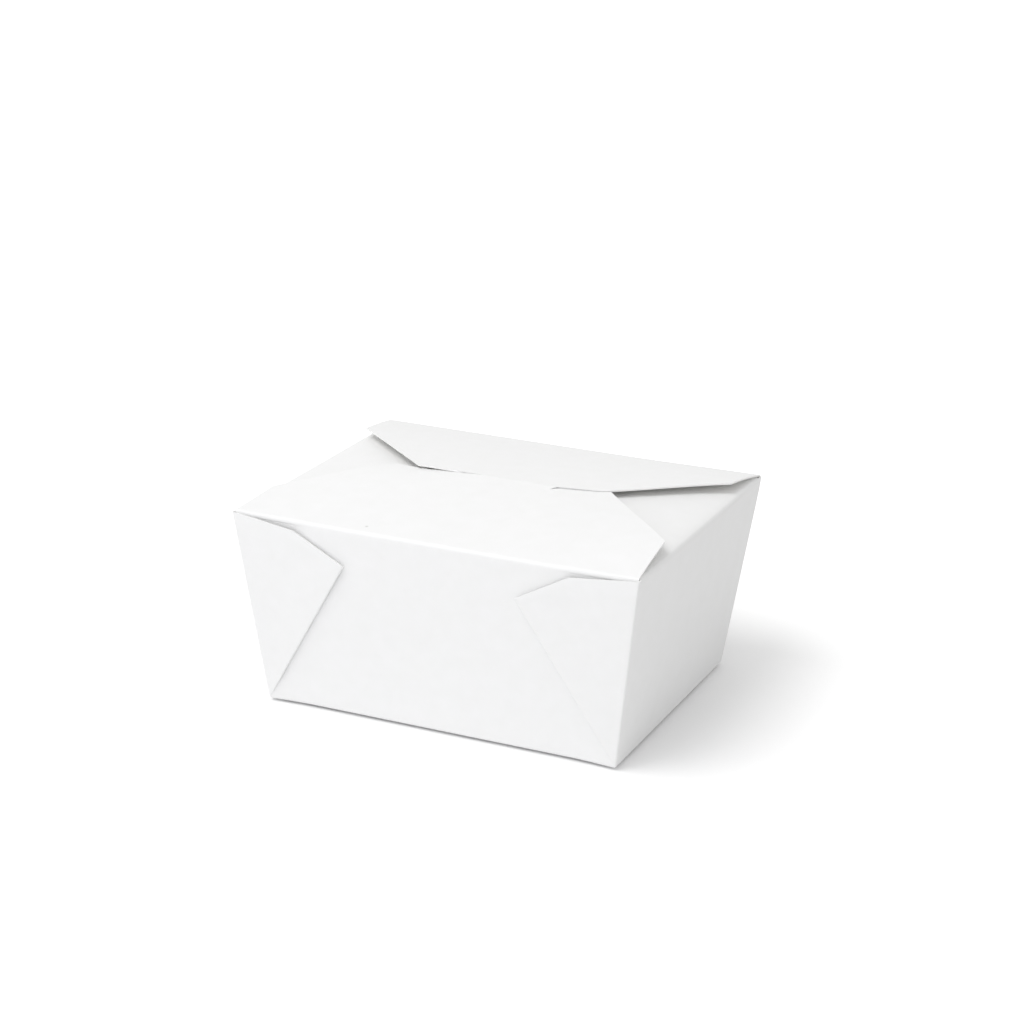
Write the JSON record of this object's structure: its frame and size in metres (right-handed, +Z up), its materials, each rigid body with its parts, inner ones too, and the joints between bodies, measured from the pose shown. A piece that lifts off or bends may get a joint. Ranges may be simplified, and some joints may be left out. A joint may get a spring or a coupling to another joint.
{
  "type": "takeout food box",
  "caption": "Folded white paperboard food box with flared walls, webs glued outside the corners and interlocking top flaps.",
  "frame": {"origin": "on the table under the middle of the base", "axes": "+X along the long side, +Z up, the front wall with the webs seen in the picture faces -Y"},
  "size_m": [0.1298, 0.1048, 0.0681],
  "materials": {
    "coated_board": "white clay-coated paperboard, satin, plain and unprinted"
  },
  "bodies": {
    "carton": {"carton": "coated_board"},
    "front_flap": {"front_flap": "coated_board"},
    "back_flap": {"back_flap": "coated_board"}
  },
  "joints": [
    {"name": "front_flap_fold", "type": "hinge", "parent": "carton", "child": "front_flap", "pos_m": [0, -0.05137, 0.06177], "axis": [1, 0, 0], "range_deg": [0, 170]},
    {"name": "back_flap_fold", "type": "hinge", "parent": "carton", "child": "back_flap", "pos_m": [0, 0.05137, 0.06177], "axis": [-1, 0, 0], "range_deg": [0, 170]}
  ],
  "couplings": [
    {"joint": "back_flap_fold", "follows": "front_flap_fold", "ratio": 1}
  ]
}
